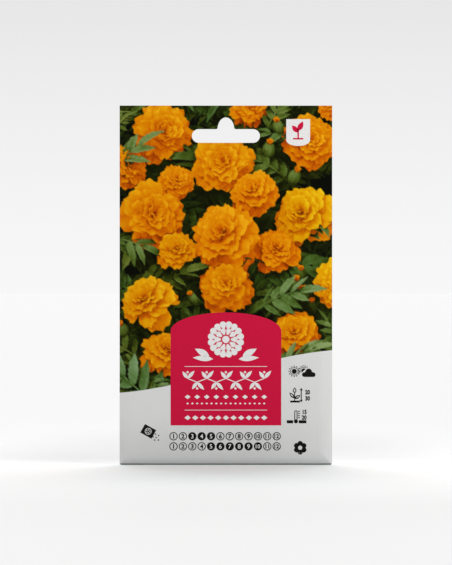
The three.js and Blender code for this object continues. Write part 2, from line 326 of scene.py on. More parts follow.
def new_finish(name, **fixed):
    """A new material: itself, its place on the piece, and its shader with fixed values set."""
    material = bpy.data.materials.new(name)
    material.use_nodes = True
    shader = material.node_tree.nodes["Principled BSDF"]
    for key, value in fixed.items():
        shader.inputs[key.replace("_", " ").title().replace("Ior", "IOR")].default_value = value
    return material, Shade(material.node_tree).node("ShaderNodeTexCoord", out="Object"), shader


def wire(shader, **varying):
    """Joins what changes over the surface to the shader's sockets."""
    for key, value in varying.items():
        value.tree.links.new(value.socket, shader.inputs[key.replace("_", " ").title()])


def linear(*display):
    """A colour's linear values from its display values, 0 to 255."""
    scaled = np.asarray(display, dtype=float) / 255.0
    return np.where(scaled <= 0.04045, scaled / 12.92, ((scaled + 0.055) / 1.055) ** 2.4)


def rgba(*display):
    return (*linear(*display).tolist(), 1.0)


def coated_paper(name, tint, shade_tint, roughness):
    """Coated paper: faint cloudiness, fibres that lift the coating a little, a soft sheen, painted
    shade that greys it towards the foot, most in the middle, and a painted contact shadow along the
    foot fold."""
    material, place, shader = new_finish(name, specular_ior_level=0.2)
    cloud, fibre = place.noise(45.0, 3.0), place.noise(2600.0, 5.0)
    relief = fibre * 0.5 + place.stretched(0.25).noise(1500.0, 2.0) * 0.5
    standing, aside = place.part("Z"), place.part("X")
    # Painted contact shadow: a dark grey line along the foot fold, where the packet meets the floor.
    painted_contact_shadow = standing.mask((foot + 0.78) * mm, (foot + 0.42) * mm, edge="LINEAR")
    # Painted shade: the paper greys towards the foot, most in the middle.
    painted_foot_shade = standing.mask((foot + 25.0) * mm, (foot + 7.0) * mm)
    painted_foot_shade = painted_foot_shade * aside.mask(44 * mm, 10 * mm, least=0.35)
    unshaded_paper = (cloud * 0.55 + fibre * 0.45).blend(shade_tint, tint)
    with_foot_shade = (painted_foot_shade * (0.3 + 0.24 * cloud)).blend(unshaded_paper, rgba(196, 196, 195))
    wire(
        shader,
        base_color=(painted_contact_shadow * (0.86 + 0.14 * fibre)).blend(with_foot_shade, rgba(104, 104, 103)),
        roughness=roughness - 0.05 + 0.1 * relief,
        normal=relief.bump(0.12, 0.00004),
    )
    return material


paper_white = coated_paper("coated_paper", rgba(225, 225, 224), rgba(215, 215, 214), 0.46)

sheet_columns = stops(
    flap_edge,
    (flap_root, 4.0),
    (left, 0.05),
    (left + bevel, 0.4),
    (left + bevel + 1.6, 0.4),
    (press_start, 1.0),
    (pressed_left, 0.25),
    (right_start, 1.0),
    (right, 0.25),
    (back_start, 0.08),
    (back_edge, 4.0),
)
sheet_rows = stops(
    tab_end,
    (tab_root, 3.0),
    (front_foot, 0.05),
    (back_foot, 0.25),
    (front_foot + bevel, 0.4),
    (press_foot, 1.5),
    (header_end, 0.25),
    (top, 2.0),
)
tab_side, corner = tab_half - tab_taper, 0.2
blank = outline(
    [
        (flap_edge, back_foot), (flap_root, back_foot), (left, front_foot),
        (left + corner, front_foot), (left + corner, tab_root), (-tab_side, tab_end),
        (tab_side, tab_end), (right - corner, tab_root), (right - corner, front_foot),
        (right, front_foot), (back_start, back_foot), (back_edge, back_foot), (back_edge, top),
        (flap_edge, top),
    ],
    sheet_columns,
    sheet_rows,
)
slot = hanging_slot()
slot_behind = [(back_start + right - x, z) for x, z in slot]
grid = [(u, v) for v in sheet_rows for u in sheet_columns]
places, faces = filled([blank, slot, slot_behind], grid, clear=0.04)
points, faces = sheet_solid(places, faces, 0.0, -paper)
sachet = new_piece("folded_sachet", points, faces, paper_white)
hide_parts("paper_sachet")

# ---------------------------------------------------------------------------------------------
# The picture. A view over a bed of double marigolds, printed on the front down to a curved edge
# above the foot and round both side folds. The bed is grown petal by petal in the print's own
# millimetres, and each point of the ink film takes the colour that the bed shows there from above.
# ---------------------------------------------------------------------------------------------

golden = math.radians(137.508)
petal, foliage = 0, 1


class Bed:
    """The bed's plants as one list of triangles, with a hue and a tone at each point."""

    def __init__(self):
        self.points, self.faces, self.kinds, self.hues, self.tones = [], [], [], [], []
        self.count = 0

    def grow(self, blades, kind, hue, tone):
        """Adds blades, an array of (blades, rows, columns, 3) points."""
        shape = blades.shape[:3]
        index = np.arange(np.prod(shape)).reshape(shape) + self.count
        a, b = index[:, :-1, :-1], index[:, :-1, 1:]
        c, d = index[:, 1:, 1:], index[:, 1:, :-1]
        self.points.append(blades.reshape(-1, 3))
        self.faces.append(np.stack([a, b, c, a, c, d], axis=-1).reshape(-1, 3))
        self.kinds.append(np.full(index.size, kind))
        self.hues.append(np.broadcast_to(hue, shape).reshape(-1))
        self.tones.append(np.broadcast_to(tone, shape).reshape(-1))
        self.count += index.size


def facing(axis, roll):
    """A turn whose columns are two directions across the axis, and the axis."""
    axis = unit(np.array(axis))
    side = unit(np.cross([0.0, 1.0, 0.0], axis))
    across = math.cos(roll) * side + math.sin(roll) * np.cross(axis, side)
    return np.stack([across, np.cross(axis, across), axis], axis=1)


def petal_spiral(rng, count, radius, rise, lifts, lengths, widths, rows, columns):
    """Ruffled petals in one spiral, from the rim of a bloom to its middle, which faces +Z."""
    f = np.linspace(0.0, 1.0, count)[:, None, None]

    def vary(low, high):
        return rng.uniform(low, high, (count, 1, 1))

    azimuth = (np.arange(count) * golden)[:, None, None] + vary(-0.12, 0.12)
    along = np.linspace(0.0, 1.0, rows)[None, :, None]
    across = np.linspace(-1.0, 1.0, columns)[None, None, :]
    length = radius * (lengths[0] + (lengths[1] - lengths[0]) * f**0.9) * vary(0.9, 1.1)
    half = radius * (widths[0] + (widths[1] - widths[0]) * f) * vary(0.8, 1.15)
    lift = lifts[0] + (lifts[1] - lifts[0]) * f**0.8 + vary(-0.16, 0.16)
    curl, phase, cup = vary(0.35, 1.1), vary(0.0, 6.283), vary(-0.15, 0.35)
    notch = 0.17 * across**2 - 0.04 * np.cos(2.4 * math.pi * across + phase)
    reach = along * (1.0 - notch)
    start, pitch = lift + curl * 0.35, lift + curl * (0.35 - reach)
    out = (np.sin(start) - np.sin(pitch)) / curl * length
    up = (np.cos(pitch) - np.cos(start)) / curl * length
    width = half * (0.3 + 0.7 * smooth(reach / 0.6)) * (1.0 - 0.2 * smooth((reach - 0.72) / 0.28))
    wave = 0.13 * np.sin(2.0 * math.pi * across + phase) + 0.03 * np.sin(5.0 * math.pi * across - phase)
    ruffle = half * (reach**1.6 * wave + cup * across**2)
    out = out - ruffle * np.sin(pitch) + 0.05 * radius * (1.0 - f)
    up = up + ruffle * np.cos(pitch) + rise * radius * f
    side = across * width
    x = out * np.cos(azimuth) - side * np.sin(azimuth)
    y = out * np.sin(azimuth) + side * np.cos(azimuth)
    veins = 0.02 * np.cos(across * 15.0 + phase)
    tone = 0.1 * (reach - 0.6) + veins + vary(-0.05, 0.05)
    return np.stack([x, y, up + 0.0 * x], axis=-1), tone


def tube(radii, heights, ribs=0.0):
    """A tube round Z, of the given radii at the given heights."""
    turn = np.linspace(0.0, 2 * math.pi, 17)[None, None, :]
    wide = np.array(radii)[None, :, None] * (1.0 + ribs * np.cos(8 * turn))
    tall = np.array(heights)[None, :, None] + 0.0 * turn
    return np.stack([wide * np.cos(turn), wide * np.sin(turn), tall], axis=-1)


def grow_bloom(bed, rng, centre, radius, axis, hue):
    """An open double bloom: broad outer petals, a crest of small ones, and the calyx under it."""
    turn = facing(axis, rng.uniform(0.0, 6.28)).T
    fullness = rng.uniform(0.85, 1.1)
    count = int(36 * fullness)
    lifts = (rng.uniform(-0.6, -0.25), 1.25)
    blades, tone = petal_spiral(rng, count, radius, 0.17, lifts, (1.04, 0.38), (0.43, 0.17), 9, 13)
    bed.grow(blades @ turn + centre, petal, hue, tone)
    crest = 0.34 * radius
    blades, tone = petal_spiral(rng, 22, crest, 0.3, (0.7, 1.5), (0.9, 0.5), (0.24, 0.14), 5, 5)
    bed.grow((blades + [0.0, 0.0, 0.11 * radius]) @ turn + centre, petal, hue + 0.18, tone - 0.08)
    down = np.linspace(0.0, 1.0, 6)
    calyx = tube(radius * (0.17 - 0.12 * smooth(down * 1.6)), -2.6 * radius * down)
    bed.grow(calyx @ turn + centre, foliage, 0.35, -0.25)


def grow_bud(bed, rng, centre, size, axis):
    """A closed bud: a ribbed green cup on its stem, with the tips of the petals out of it."""
    turn = facing(axis, rng.uniform(0.0, 6.28)).T
    up = np.linspace(0.0, 1.0, 9)
    cup = tube(size * (0.16 + 0.2 * np.sin(math.pi * (0.9 * up + 0.05))), size * (1.1 * up - 0.5), 0.07)
    bed.grow(cup @ turn + centre, foliage, 0.75, 0.12)
    blades, tone = petal_spiral(rng, 12, 0.62 * size, 0.1, (1.15, 1.5), (0.7, 0.6), (0.3, 0.2), 5, 5)
    bed.grow((blades + [0.0, 0.0, 0.42 * size]) @ turn + centre, petal, 0.0, tone - 0.1)
    stem = tube(np.full(6, 0.07 * size), size * (-0.45 - 3.5 * np.linspace(0.0, 1.0, 6)))
    bed.grow(stem @ turn + centre, foliage, 0.6, 0.05)


def grow_leaf(bed, rng, root, heading, rise, length, hue, lightness):
    """A feathered leaf: toothed leaflets in pairs on an arching rib, and one at its end."""
    heading = np.array([math.cos(heading), math.sin(heading), 0.0])
    normal = unit(np.array([0.0, 0.64, 0.77]) + rng.normal(0.0, 0.25, 3))
    forward = unit(heading - normal * heading.dot(normal))
    sideways = np.cross(normal, forward)
    at = np.append(np.repeat(np.linspace(0.25, 0.85, 4), 2), 1.0)
    hand = np.append(np.tile([1.0, -1.0], 4), 0.0)
    rib = root + length * (
        at[:, None] * forward * math.cos(rise) + (rise * at - 0.45 * at**2)[:, None] * normal
    )
    angle = hand * (0.95 - 0.35 * at) + rng.normal(0.0, 0.12, 9)
    blade = length * (0.42 - 0.1 * np.abs(at - 0.55)) * rng.uniform(0.85, 1.15, 9)
    blade[-1] = length * 0.48
    half = blade * rng.uniform(0.14, 0.19, 9)
    blade, half = blade[:, None, None], half[:, None, None]
    s, t = np.linspace(0.0, 1.0, 15)[None, :, None], np.linspace(-1.0, 1.0, 5)[None, None, :]
    tooth = 1.0 + 0.3 * (((s * 7.0) % 1.0) - 0.45) * (np.abs(t) > 0.9)
    width = half * np.sin(math.pi * s**0.8) ** 0.85 * tooth
    cos, sin = np.cos(angle)[:, None], np.sin(angle)[:, None]
    outward = (cos * forward + sin * sideways)[:, None, None, :]
    over = (cos * sideways - sin * forward)[:, None, None, :]
    droop, twist = rng.uniform(0.05, 0.5, (9, 1, 1)), rng.normal(0.0, 0.35, (9, 1, 1))
    height = width * (0.42 * np.abs(t) + twist * t) - droop * s**2 * blade
    blades = rib[:, None, None, :] + outward * (s * blade)[..., None] + over * (t * width)[..., None]
    blades = blades + normal * height[..., None]
    veins = 0.04 * np.cos(s * 44.0) * (np.abs(t) > 0.2) - 0.1 * (np.abs(t) < 0.2)
    bed.grow(blades, foliage, hue, veins + lightness + np.zeros((9, 1, 1)))
    rows = np.linspace(0.0, 1.0, 8)[None, :, None, None]
    turns = np.linspace(0.0, 2 * math.pi, 5)[None, None, :, None]
    middle = rows * forward * math.cos(rise) + (rise * rows - 0.45 * rows**2) * normal
    stalk = root + length * middle + 0.45 * (np.cos(turns) * sideways + np.sin(turns) * normal)
    bed.grow(stalk, foliage, hue + 0.1, lightness + 0.12)


def plant_bed(seed):
    """Blooms that crowd and overlap, buds in the gaps between them, and leaves under them all."""
    rng = np.random.default_rng(seed)
    bed = Bed()

    def canopy(x, y, z):
        return np.array([x, y, z - 0.55 * y])

    blooms = []
    for number in range(19):
        radius = 18.0 - 9.0 * (number / 19) ** 0.8
        crowding = 0.55 if number % 3 == 0 else 0.85
        best = None
        for _ in range(60):
            x, y = rng.uniform(-54, 54), rng.uniform(-116, 8)
            if y < -74 and rng.random() < 0.8:
                continue
            gaps = [math.hypot(x - a, y - b) - crowding * (radius + r) for a, b, r in blooms]
            score = min(gaps + [4.0]) - 0.01 * abs(x) - 0.02 * abs(y + 45)
            if best is None or score > best[0]:
                best = (score, x, y)
        blooms.append((best[1], best[2], radius))
    for x, y, radius in blooms:
        axis = (rng.normal(0.0, 0.3), rng.normal(0.5, 0.25), 1.0)
        hue = rng.choice([-0.9, -0.3, 0.0, 0.1, 0.25], p=[0.12, 0.2, 0.28, 0.2, 0.2])
        grow_bloom(bed, rng, canopy(x, y, rng.uniform(-4, 8)), radius, axis, hue)

    def over_blooms(x, y):
        return min(math.hypot(x - a, y - b) - r for a, b, r in blooms)

    buds = 0
    while buds < 11:
        x, y, size = rng.uniform(-49, 49), rng.uniform(-110, 5), rng.uniform(6, 8.5)
        if over_blooms(x, y) > 1.5:
            axis = (rng.normal(0.0, 0.3), rng.uniform(0.9, 1.6), 1.0)
            grow_bud(bed, rng, canopy(x, y, rng.uniform(-6, 2)), size, axis)
            buds += 1
    for number in range(340):
        x, y = rng.uniform(-62, 62), rng.uniform(-142, 14)
        length = rng.uniform(20, 36) if number < 230 else rng.uniform(11, 20)
        heading, rise = rng.uniform(-0.6, math.pi + 0.6), rng.uniform(0.2, 0.9)
        way = [length * (math.cos(rise) * s) for s in (0.2, 0.6, 1.0)]
        gap = min(over_blooms(x + s * math.cos(heading), y + 0.8 * s * math.sin(heading)) for s in way)
        depth = 12.0 * rng.random() if gap > 1.0 or number % 40 == 0 else 15.0 + 18.0 * rng.random()
        root = canopy(x, y, -depth)
        grow_leaf(bed, rng, root, heading, rise, length, rng.random(), rng.normal(0.0, 0.05))
    return bed


def sky_share_at(tree, points, normals, count):
    """How much of the sky is open over each point, from 0 to 1, by rays to the half of the sky
    that the bed leans towards."""
    height = 1.0 - 0.9 * (np.arange(count) + 0.5) / count
    across = np.sqrt(1.0 - height**2)
    turn = np.arange(count) * golden
    sky = np.stack([across * np.cos(turn), across * np.sin(turn), height], axis=1)
    sky = sky @ facing((0.0, 0.62, 0.78), 0.3).T
    slant = sky @ normals.T
    weights = 0.25 + np.where(slant > 0, slant, -0.7 * slant)
    free = np.zeros_like(weights)
    for row, ray in enumerate(Vector(ray) for ray in sky.tolist()):
        for column, point in enumerate(points.tolist()):
            free[row, column] = tree.ray_cast(Vector(point) + 0.3 * ray, ray, 40.0)[0] is None
    return (free * weights).sum(0) / weights.sum(0)


def look_down(tree, where, shift, sun):
    """For each (u, v) in where: the triangle seen there from above, or -1, the spot on it, and
    whether the sun reaches it."""
    hit, place, sunlit = np.full(len(where), -1), np.zeros((len(where), 3)), np.ones(len(where))
    for i, (u, v) in enumerate(where):
        over = Vector((u + shift[0], v + shift[1], 150.0))
        spot, _, index, _ = tree.ray_cast(over, Vector((0.0, 0.0, -1.0)))
        if spot is not None:
            hit[i], place[i] = index, spot
            sunlit[i] = tree.ray_cast(spot + 0.15 * sun, sun, 60.0)[0] is None
    return hit, place, sunlit


def corner_shares(place, a, b, c):
    """Each place on its triangle, as shares of the triangle's three corners."""
    ab, ac, ap = b - a, c - a, place - a
    bb, bc, cc = (ab * ab).sum(1), (ab * ac).sum(1), (ac * ac).sum(1)
    pb, pc = (ap * ab).sum(1), (ap * ac).sum(1)
    area = np.maximum(bb * cc - bc * bc, 1e-12)
    to_b, to_c = (cc * pb - bc * pc) / area, (bb * pc - bc * pb) / area
    return np.stack([1.0 - to_b - to_c, to_b, to_c], axis=1)


def ink_for(light, inks):
    """A print colour for each amount of light, from six inks that run from dark to light."""
    steps = [0.0, 0.25, 0.5, 0.75, 1.0, 1.25]
    return np.stack([np.interp(light, steps, channel) for channel in zip(*inks)], axis=1)


petal_inks = [(118, 40, 2), (182, 77, 0), (206, 107, 0), (218, 127, 0), (225, 145, 3), (240, 174, 20)]
leaf_inks = [(9, 10, 2), (27, 33, 6), (50, 63, 13), (72, 93, 31), (96, 120, 56), (136, 156, 98)]
soil_ink = [9.0, 11.0, 5.0]


def seen_from_above(bed, where, spread, looks, rays):
    """The bed's display colour at each (u, v) in where, as the mean of a few looks beside it."""
    points, faces = np.concatenate(bed.points), np.concatenate(bed.faces)
    kinds, hues, tones = [np.concatenate(part) for part in (bed.kinds, bed.hues, bed.tones)]
    a, b, c = points[faces[:, 0]], points[faces[:, 1]], points[faces[:, 2]]
    normals = np.zeros_like(points)
    for corner in range(3):
        np.add.at(normals, faces[:, corner], np.cross(b - a, c - a))
    normals = unit(normals)
    tree = BVHTree.FromPolygons(points.tolist(), faces.tolist(), all_triangles=True)
    sun = Vector((-0.35, 0.62, 0.72)).normalized()
    shifts = spread * np.array([(-0.3, -0.1), (0.1, -0.3), (0.3, 0.1), (-0.1, 0.3)])
    views = [look_down(tree, where, shift, sun) for shift in shifts[:looks].tolist()]
    seen = np.unique(faces[np.unique(np.concatenate([hit[hit >= 0] for hit, _, _ in views]))])
    open_sky = np.zeros(len(points))
    open_sky[seen] = sky_share_at(tree, points[seen], normals[seen], rays)

    total = np.zeros((len(where), 3))
    for hit, place, sunlit in views:
        met = hit >= 0
        corners = faces[hit[met]]
        share = corner_shares(place[met], *[points[corners[:, k]] for k in range(3)])
        normal = unit((normals[corners] * share[..., None]).sum(1))
        sun_share = sunlit[met] * np.abs(normal @ np.array(sun))
        sky_share, hue, tone = [(part[corners] * share).sum(1) for part in (open_sky, hues, tones)]
        petal_light = 1.02 * sky_share + 0.3 * sun_share + tone - 0.04
        leaf_light = 0.06 + 0.84 * sky_share**1.15 + (0.4 * sun_share + tone) * sky_share
        petal_redness = 1.0 - hue[:, None] * np.array([0.0, 0.14, 0.3])
        leaf_yellowness = 1.0 + (hue[:, None] - 0.5) * np.array([0.2, 0.0, -0.3])
        petals = ink_for(petal_light, petal_inks) * petal_redness
        leaves = ink_for(leaf_light, leaf_inks) * leaf_yellowness
        shown = np.tile(soil_ink, (len(where), 1))
        shown[met] = np.where((kinds[corners[:, 0]] == petal)[:, None], petals, leaves)
        total += shown
    return np.clip(total / looks, 0.0, 255.0)


def footer_edge(u):
    """The picture's lower edge, which climbs to the right in a shallow wave."""
    share = (u + half_width) / (2 * half_width)
    return -129.5 + 20.0 * (0.4 * share + 0.6 * smooth(share))


def inset(loop, amount):
    """A loop moved outwards by amount, or inwards if that is negative; it runs anticlockwise."""
    points = np.asarray(loop, dtype=float)
    along = np.roll(points, -1, axis=0) - np.roll(points, 1, axis=0)
    return points + amount * unit(np.stack([along[:, 1], -along[:, 0]], axis=1))


film_sink = 0.02  # how far a film of ink goes into the paper
cell = 0.4
print_left, print_right = flap_root - 0.35, back_start + 1.2
print_foot, print_top = -130.0, top - 0.03
picture_columns = stops(
    print_left,
    (flap_root, 0.18),
    (left, 0.07),
    (left + bevel, min(cell, 0.4)),
    (press_start, cell),
    (pressed_left, 0.25),
    (right_start, cell),
    (right, 0.25),
    (back_start, 0.1),
    (print_right, 0.4),
)
picture_rows = stops(print_foot, (press_foot, cell), (header_end, 0.25), (print_top, cell))
under_columns = stops(
    print_left,
    (left, 0.1),
    (left + bevel, 0.5),
    (press_start, 2.0),
    (pressed_left, 0.3),
    (right - bevel, 4.0),
    (right, 0.5),
    (print_right, 0.1),
)
under_rows = stops(print_foot, (press_foot, 4.0), (header_end, 0.3), (top, 4.0))
right_side = between(picture_rows, footer_edge(print_right), print_top)
left_side = between(picture_rows, footer_edge(print_left), print_top)
rim = [(u, footer_edge(u)) for u in picture_columns[:-1]]
rim += [(print_right, v) for v in right_side]
rim += [(u, print_top) for u in picture_columns[:0:-1]]
rim += [(print_left, v) for v in [print_top] + left_side[:0:-1]]
punched = inset(slot, 0.03)
picture_grid = [(u, v) for v in picture_rows for u in picture_columns if v > footer_edge(u)]
under_grid = [(u, v) for v in under_rows for u in under_columns if v > footer_edge(u)]
top_places, top_faces = filled([rim, punched], picture_grid, clear=0.04)
under = filled([rim, punched], under_grid, clear=0.04)
points, faces = sheet_solid(top_places, top_faces, 0.015, -film_sink, back=under)

bed = plant_bed(12)
looks, rays = ((4, 14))
shown = linear(*seen_from_above(bed, top_places.tolist(), cell, looks, rays).T).T
rim_count = len(rim) + len(punched)
unseen = np.tile(shown.mean(0), (len(under[0]) - rim_count, 1))
ink_colours = np.concatenate([shown, shown[:rim_count], unseen])

picture_ink, place, shader = new_finish("picture_ink", specular_ior_level=0.02)
print_colour = place.node("ShaderNodeAttribute", {"attribute_name": "ink"}, out="Color")
fibre = place.noise(1800.0, 4.0)
wire(shader, base_color=print_colour, roughness=0.4 + 0.12 * fibre, normal=fibre.bump(0.1, 0.00004))

picture = new_piece("printed_picture", points, faces, picture_ink)
ink = picture.data.color_attributes.new("ink", "FLOAT_COLOR", "POINT")
ink.data.foreach_set("color", np.column_stack([ink_colours, np.ones(len(points))]).ravel())

# ---------------------------------------------------------------------------------------------
# The label: a crimson panel with an arched top, printed over the picture and the foot. Its
# ornament is printed in white: a rosette, two thin rules, a leafy vine and rows of lozenges.
# ---------------------------------------------------------------------------------------------


def divided(loop, pitch):
    """A loop with its long sides divided, so that it can follow the sheet."""
    fine = []
    for (x0, z0), (x1, z1) in zip(loop, list(loop[1:]) + [loop[0]]):
        steps = max(1, math.ceil(math.hypot(x1 - x0, z1 - z0) / pitch))
        fine += [(x0 + (x1 - x0) * k / steps, z0 + (z1 - z0) * k / steps) for k in range(steps)]
    return fine


def disc(x, z, radius, count=40):
    return arc(x, z, radius, radius, 0.0, 360.0, count + 1)[:-1]


def bar(x0, z0, x1, z1, width):
    """A straight stroke from one point to another."""
    length = math.hypot(x1 - x0, z1 - z0)
    dx, dz = 0.5 * width * (z1 - z0) / length, -0.5 * width * (x1 - x0) / length
    return [(x0 + dx, z0 + dz), (x1 + dx, z1 + dz), (x1 - dx, z1 - dz), (x0 - dx, z0 - dz)]


def placed(loop, x, z, lean=0.0):
    """A loop drawn round the origin, leant by some degrees and moved to (x, z)."""
    turn = math.radians(lean)
    return [
        (x + a * math.cos(turn) - b * math.sin(turn), z + a * math.sin(turn) + b * math.cos(turn))
        for a, b in loop
    ]


def leaf_shape(x, z, length, width, lean):
    """A pointed leaf that grows from (x, z) at lean degrees from +X."""
    shares = [k / 8 for k in range(9)]
    right_side = [(length * s, -0.5 * width * math.sin(math.pi * s**0.85)) for s in shares]
    left_side = [(length * s, 0.5 * width * math.sin(math.pi * s**0.85)) for s in shares[-2:0:-1]]
    return placed(right_side + left_side, x, z, lean)


def petal_shape(x, z, near, far, width, lean):
    """A round-ended petal of a rosette round (x, z), from radius near to radius far."""
    half, end = 0.5 * width, far - 0.5 * width
    profile = [(near, -0.3 * half)] + [(end + a, b) for a, b in arc(0, 0, half, half, -90, 90, 11)]
    return placed(profile + [(near, 0.3 * half)], x, z, lean)


def lozenge(x, z, half):
    return [(x - half, z), (x, z - 0.75 * half), (x + half, z), (x, z + 0.75 * half)]


def one_piece(name, shells, ink):
    """Closed shells of ink, joined as one piece."""
    counts = np.cumsum([0] + [len(points) for points, _ in shells])
    faces = [faces + count for (_, faces), count in zip(shells, counts)]
    return new_piece(name, np.concatenate([points for points, _ in shells]), np.concatenate(faces), ink)


def printed(name, shapes, ink, height, pitch=1.5):
    """Flat ink on the sheet: each shape is one outline, or an outline followed by its holes."""
    shells = []
    for shape in shapes:
        loops = [divided(loop, pitch) for loop in (shape if isinstance(shape[0], list) else [shape])]
        low_u, low_v = np.min(loops[0], axis=0)
        high_u, high_v = np.max(loops[0], axis=0)
        inner = [
            (u, v)
            for u in np.arange(low_u + pitch / 2, high_u, pitch)
            for v in np.arange(low_v + pitch / 2, high_v, pitch)
        ]
        shells.append(sheet_solid(*filled(loops, inner, clear=0.3 * pitch), height, -film_sink))
    return one_piece(name, shells, ink)


def flat_ink(name, tint, deep_tint, roughness):
    """One solid ink: a trace of mottle from the paper under it, and a soft sheen."""
    material, place, shader = new_finish(name, specular_ior_level=0.05)
    fibre = place.noise(1800.0, 4.0)
    wire(
        shader,
        base_color=place.noise(700.0, 4.0).blend(deep_tint, tint),
        roughness=roughness - 0.05 + 0.1 * fibre,
        normal=fibre.bump(0.1, 0.00004),
    )
    return material


crimson_ink = flat_ink("crimson_ink", rgba(206, 23, 65), rgba(200, 19, 58), 0.42)
white_ink = flat_ink("white_ink", rgba(234, 233, 232), rgba(229, 228, 227), 0.5)

label_half, label_foot, shoulder, label_arch = 26.0, -144.8, -100.5, 8.8
panel = [(-label_half, label_foot), (label_half, label_foot)]
panel += arc(0.0, shoulder, label_half, label_arch, 0.0, 180.0, 61)
printed("label_panel", [panel], crimson_ink, height=0.03)

ornament = [bar(-19.4, z, 19.4, z, 0.24) for z in (-117.1, -137.6)]
rosette_z = -104.4
ornament += [petal_shape(0.0, rosette_z, 5.0, 8.6, 3.1, 11.25 + 22.5 * k) for k in range(16)]
ornament += [petal_shape(0.0, rosette_z, 2.3, 5.4, 2.5, 36.0 * k) for k in range(10)]
ornament += [disc(0.0, rosette_z, 1.7)]
ornament += [leaf_shape(side * 7.8, -112.3, 7.6, 3.0, 90 - side * 62) for side in (-1, 1)]
ornament += [leaf_shape(side * 6.0, -113.6, 9.6, 2.6, 90 - side * 86) for side in (-1, 1)]
vine_z, stem_run, stem_swing = -123.6, 4.5, 0.9
for k in range(-4, 5):
    stem_x, crest = stem_run * k, (-1) ** k
    stem_z = vine_z + stem_swing * crest
    if k < 4:
        ornament.append(bar(stem_x, stem_z, stem_x + stem_run, vine_z - stem_swing * crest, 0.42))
    for size, lean in ((4.9, 48), (4.1, 126)):
        ornament.append(leaf_shape(stem_x, stem_z, size, 1.7, crest * lean))
    ornament.append(disc(stem_x, stem_z + 2.9 * crest, 0.55, 16))
for z, size, count in ((-131.4, 1.35, 9), (-134.5, 0.62, 17), (-141.2, 1.5, 11)):
    for k in range(count):
        ornament.append(lozenge(36.0 * (k / (count - 1) - 0.5), z, size))
printed("label_ornament", ornament, white_ink, height=0.045)

# ---------------------------------------------------------------------------------------------
# The tag: a small white patch with an arched foot, printed over the picture between the slot and
# the right corner, with a crimson sprout printed on it.
# ---------------------------------------------------------------------------------------------

tag_x, tag_half, tag_top = 34.0, 5.6, -0.8
tag = [(tag_x + tag_half, tag_top), (tag_x - tag_half, tag_top)]
tag += arc(tag_x, -10.6, tag_half, 2.8, 180.0, 360.0, 25)
printed("tag_patch", [tag], white_ink, height=0.03)
sprout = [bar(tag_x, -9.8, tag_x, -5.6, 0.7), bar(tag_x - 2.4, -10.0, tag_x + 2.4, -10.0, 0.7)]
sprout += [leaf_shape(tag_x, -6.2, 4.9, 2.5, 62), leaf_shape(tag_x, -7.0, 4.4, 2.3, 132)]
printed("tag_sprout", sprout, crimson_ink, height=0.045, pitch=1.0)

# ---------------------------------------------------------------------------------------------
# The sowing calendar: two rows of twelve numbered months in black, ringed where the month is idle
# and filled where there is something to do. The rings are laid out by one tree, then inked on.
# ---------------------------------------------------------------------------------------------

black_ink = flat_ink("black_ink", rgba(25, 23, 23), rgba(17, 16, 16), 0.42)


def plain_mesh(holder):
    """What an object's curve or modifiers make, as a mesh of its own. The object is removed."""
    bpy.context.view_layer.update()
    mesh = bpy.data.meshes.new_from_object(holder.evaluated_get(bpy.context.evaluated_depsgraph_get()))
    holder.modifiers.clear()
    bpy.data.objects.remove(holder)
    return mesh


def glyph(text, x, z, tall, weight, narrow=1.0):
    """A number's triangles, from Blender's own typeface, centred on (x, z)."""
    curve = bpy.data.curves.new("number", "FONT")
    curve.body = text
    curve.size = tall
    curve.align_x, curve.align_y = "CENTER", "CENTER"
    curve.resolution_u = 3
    curve.offset = weight * tall
    flat = plain_mesh(in_scene("number", curve))
    bpy.data.curves.remove(curve)
    points = np.array([vertex.co[:2] for vertex in flat.vertices])
    middle = (points.min(0) + points.max(0)) / 2
    faces = np.array([face.vertices[:] for face in flat.polygons if len(face.vertices) == 3])
    bpy.data.meshes.remove(flat)
    places = (points - middle) * [narrow, 1.0] + [x, z]
    return places, anticlockwise(places, faces)


def lay_out(name, build, material, **sizes):
    """Runs a Geometry Nodes tree with named inputs and returns what it makes as a plain mesh.
    build gets the tree and those inputs, and returns the geometry that it makes."""
    tree = bpy.data.node_groups.new(name, "GeometryNodeTree")
    tree.interface.new_socket("Geometry", in_out="OUTPUT", socket_type="NodeSocketGeometry")
    inputs = {}
    for label, value in sizes.items():
        kind = "NodeSocketInt" if isinstance(value, int) else "NodeSocketFloat"
        inputs[label] = tree.interface.new_socket(label, in_out="INPUT", socket_type=kind)
    entry = tree.nodes.new("NodeGroupInput")
    made = build(Shade(tree), {label: Shade(tree, entry.outputs[label]) for label in inputs})
    solid = made.node("GeometryNodeRealizeInstances", None, {0: made})
    finished = made.node("GeometryNodeSetMaterial", None, {"Geometry": solid, "Material": material})
    leave = tree.nodes.new("NodeGroupOutput")
    tree.links.new(finished.socket, leave.inputs[0])
    holder = in_scene(name, bpy.data.meshes.new(name))
    modifier = holder.modifiers.new(name, "NODES")
    modifier.node_group = tree
    for label, value in sizes.items():
        modifier[inputs[label].identifier] = value
    return plain_mesh(holder)


def ring_row(start, given):
    """A row of rings, each a round stroke of ink with a flat section."""
    spacing = start.node("ShaderNodeCombineXYZ", None, {"X": given["Spacing"]})
    spots = start.node("GeometryNodeMeshLine", None, {"Count": given["Count"], "Offset": spacing})
    round_way = {"Resolution": given["Sides"], "Radius": given["Radius"]}
    path = start.node("GeometryNodeCurvePrimitiveCircle", None, round_way)
    flat = {"Width": given["Stroke"], "Height": given["Film"]}
    section = start.node("GeometryNodeCurvePrimitiveQuadrilateral", None, flat)
    ring = start.node("GeometryNodeCurveToMesh", None, {"Curve": path, "Profile Curve": section})
    return start.node("GeometryNodeInstanceOnPoints", None, {"Points": spots, "Instance": ring})


